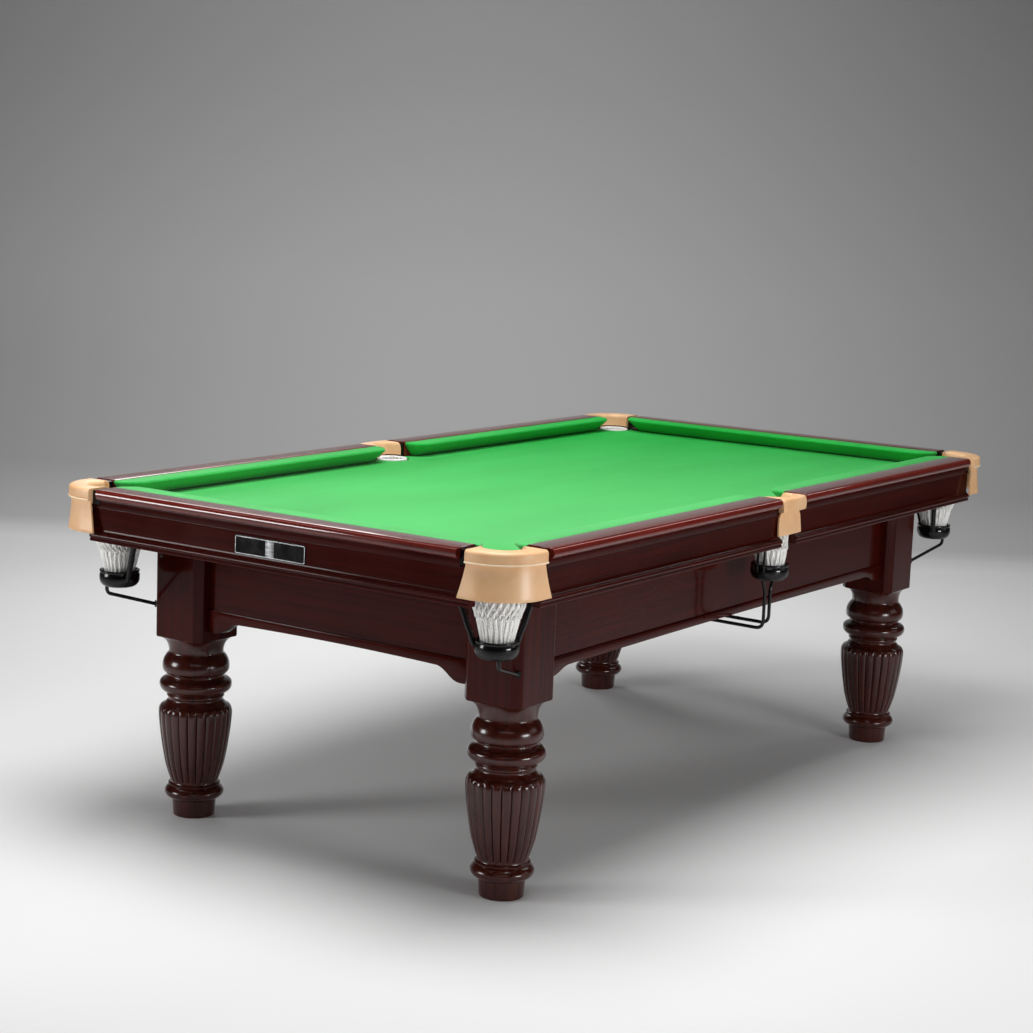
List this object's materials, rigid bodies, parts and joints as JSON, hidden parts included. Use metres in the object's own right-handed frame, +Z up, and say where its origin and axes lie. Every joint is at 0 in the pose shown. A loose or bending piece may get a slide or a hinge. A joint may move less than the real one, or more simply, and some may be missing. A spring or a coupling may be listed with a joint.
{
  "type": "pool table",
  "caption": "Mahogany pool table with green cloth, turned and reeded legs, leather-capped pockets and hanging cord nets on black iron ball holders.",
  "frame": {"origin": "on the floor under the middle of the table", "axes": "+X along the long side, +Y along the short side, +Z up; the bare name plate is on the -X end"},
  "size_m": [2.487, 1.378, 0.85],
  "materials": {
    "mahogany": "dark red-brown lacquer, high gloss",
    "cloth": "napped green wool cloth",
    "leather": "tan pocket leather, semi-gloss",
    "slate": "honed grey slate",
    "net_cord": "white knotted cotton cord",
    "black_iron": "gloss black enamel on iron",
    "softwood": "plain planed softwood",
    "steel": "zinc-plated steel",
    "plate": "black lacquered plate with a thin silver border, left bare"
  },
  "bodies": {
    "table": {"apron_front": "mahogany", "apron_left": "mahogany", "apron_rear": "mahogany", "apron_right": "mahogany", "beam_left": "softwood", "beam_middle": "softwood", "beam_right": "softwood", "bed_cloth": "cloth", "cushion_front_left": "cloth", "cushion_front_right": "cloth", "cushion_left_end": "cloth", "cushion_rear_left": "cloth", "cushion_rear_right": "cloth", "cushion_right_end": "cloth", "fascia_front_left": "mahogany", "fascia_front_right": "mahogany", "fascia_left_end": "mahogany", "fascia_rear_left": "mahogany", "fascia_rear_right": "mahogany", "fascia_right_end": "mahogany", "holder_front_left": "black_iron", "holder_front_middle": "black_iron", "holder_front_right": "black_iron", "holder_rear_left": "black_iron", "holder_rear_middle": "black_iron", "holder_rear_right": "black_iron", "iron_front_left": "black_iron", "iron_front_right": "black_iron", "iron_rear_left": "black_iron", "iron_rear_right": "black_iron", "leather_front_left": "leather", "leather_front_middle": "leather", "leather_front_right": "leather", "leather_rear_left": "leather", "leather_rear_middle": "leather", "leather_rear_right": "leather", "leg_front_left": "mahogany", "leg_front_right": "mahogany", "leg_rear_left": "mahogany", "leg_rear_right": "mahogany", "name_plate": "plate", "net_front_left": "net_cord", "net_front_middle": "net_cord", "net_front_right": "net_cord", "net_rear_left": "net_cord", "net_rear_middle": "net_cord", "net_rear_right": "net_cord", "rail_front_left": "mahogany", "rail_front_right": "mahogany", "rail_left_end": "mahogany", "rail_rear_left": "mahogany", "rail_rear_right": "mahogany", "rail_right_end": "mahogany", "slate_left": "slate", "slate_middle": "slate", "slate_right": "slate"},
    "leveller_front_left": {"leveller_front_left": "steel"},
    "leveller_front_right": {"leveller_front_right": "steel"},
    "leveller_rear_left": {"leveller_rear_left": "steel"},
    "leveller_rear_right": {"leveller_rear_right": "steel"}
  },
  "joints": [
    {"name": "leveller_front_left_slide", "type": "slide", "parent": "table", "child": "leveller_front_left", "axis": [0, 0, -1], "range_m": [0, 0.015]},
    {"name": "leveller_front_right_slide", "type": "slide", "parent": "table", "child": "leveller_front_right", "axis": [0, 0, -1], "range_m": [0, 0.015]},
    {"name": "leveller_rear_left_slide", "type": "slide", "parent": "table", "child": "leveller_rear_left", "axis": [0, 0, -1], "range_m": [0, 0.015]},
    {"name": "leveller_rear_right_slide", "type": "slide", "parent": "table", "child": "leveller_rear_right", "axis": [0, 0, -1], "range_m": [0, 0.015]}
  ]
}
